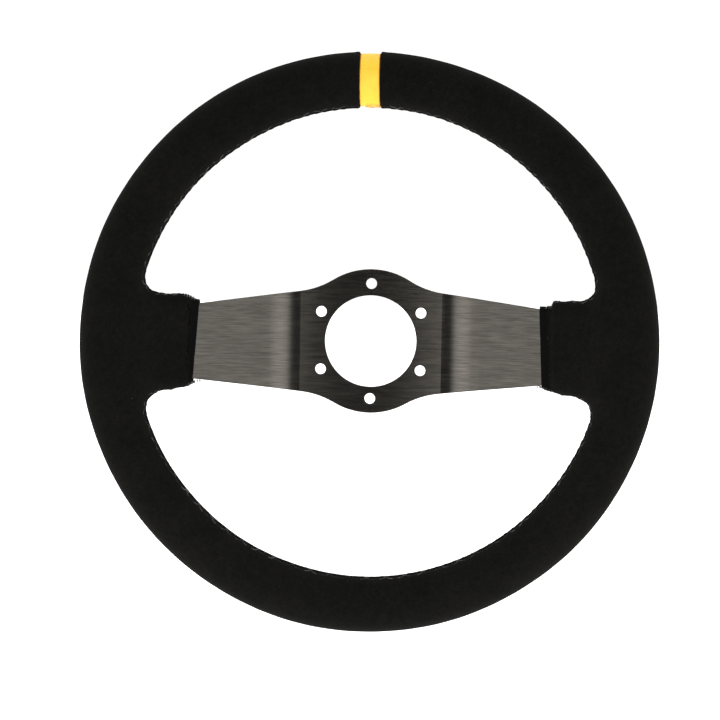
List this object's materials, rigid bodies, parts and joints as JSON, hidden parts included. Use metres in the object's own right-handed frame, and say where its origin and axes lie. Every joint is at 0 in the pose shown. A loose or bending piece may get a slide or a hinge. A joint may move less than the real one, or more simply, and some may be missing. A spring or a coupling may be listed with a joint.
{
  "type": "steering wheel",
  "caption": "Dished motorsport steering wheel with a sewn black suede grip, a yellow centring band and bent dark metal spokes round an open, drilled hub.",
  "frame": {"origin": "centre of the hub bore at the hub's rear mounting face", "axes": "+Y along the steering axis, away from the driver; +Z towards twelve o'clock; +X to the driver's right"},
  "size_m": [0.35, 0.041, 0.3499],
  "materials": {
    "anodised_plate": "dark anodised, brushed across",
    "bare_aluminium": "mill",
    "grip_foam": "moulded skin",
    "black_suede": "napped suede",
    "yellow_leather": "smooth leather",
    "black_thread": "waxed thread"
  },
  "bodies": {
    "root": {"spoke_plate": "anodised_plate", "rim_ring": "bare_aluminium", "spoke_rivets": "bare_aluminium", "foam_core": "grip_foam", "suede_cover": "black_suede", "marker_band": "yellow_leather", "seam_thread_upper": "black_thread", "seam_thread_lower": "black_thread", "hem_thread_right": "black_thread", "hem_thread_left": "black_thread"}
  },
  "joints": []
}
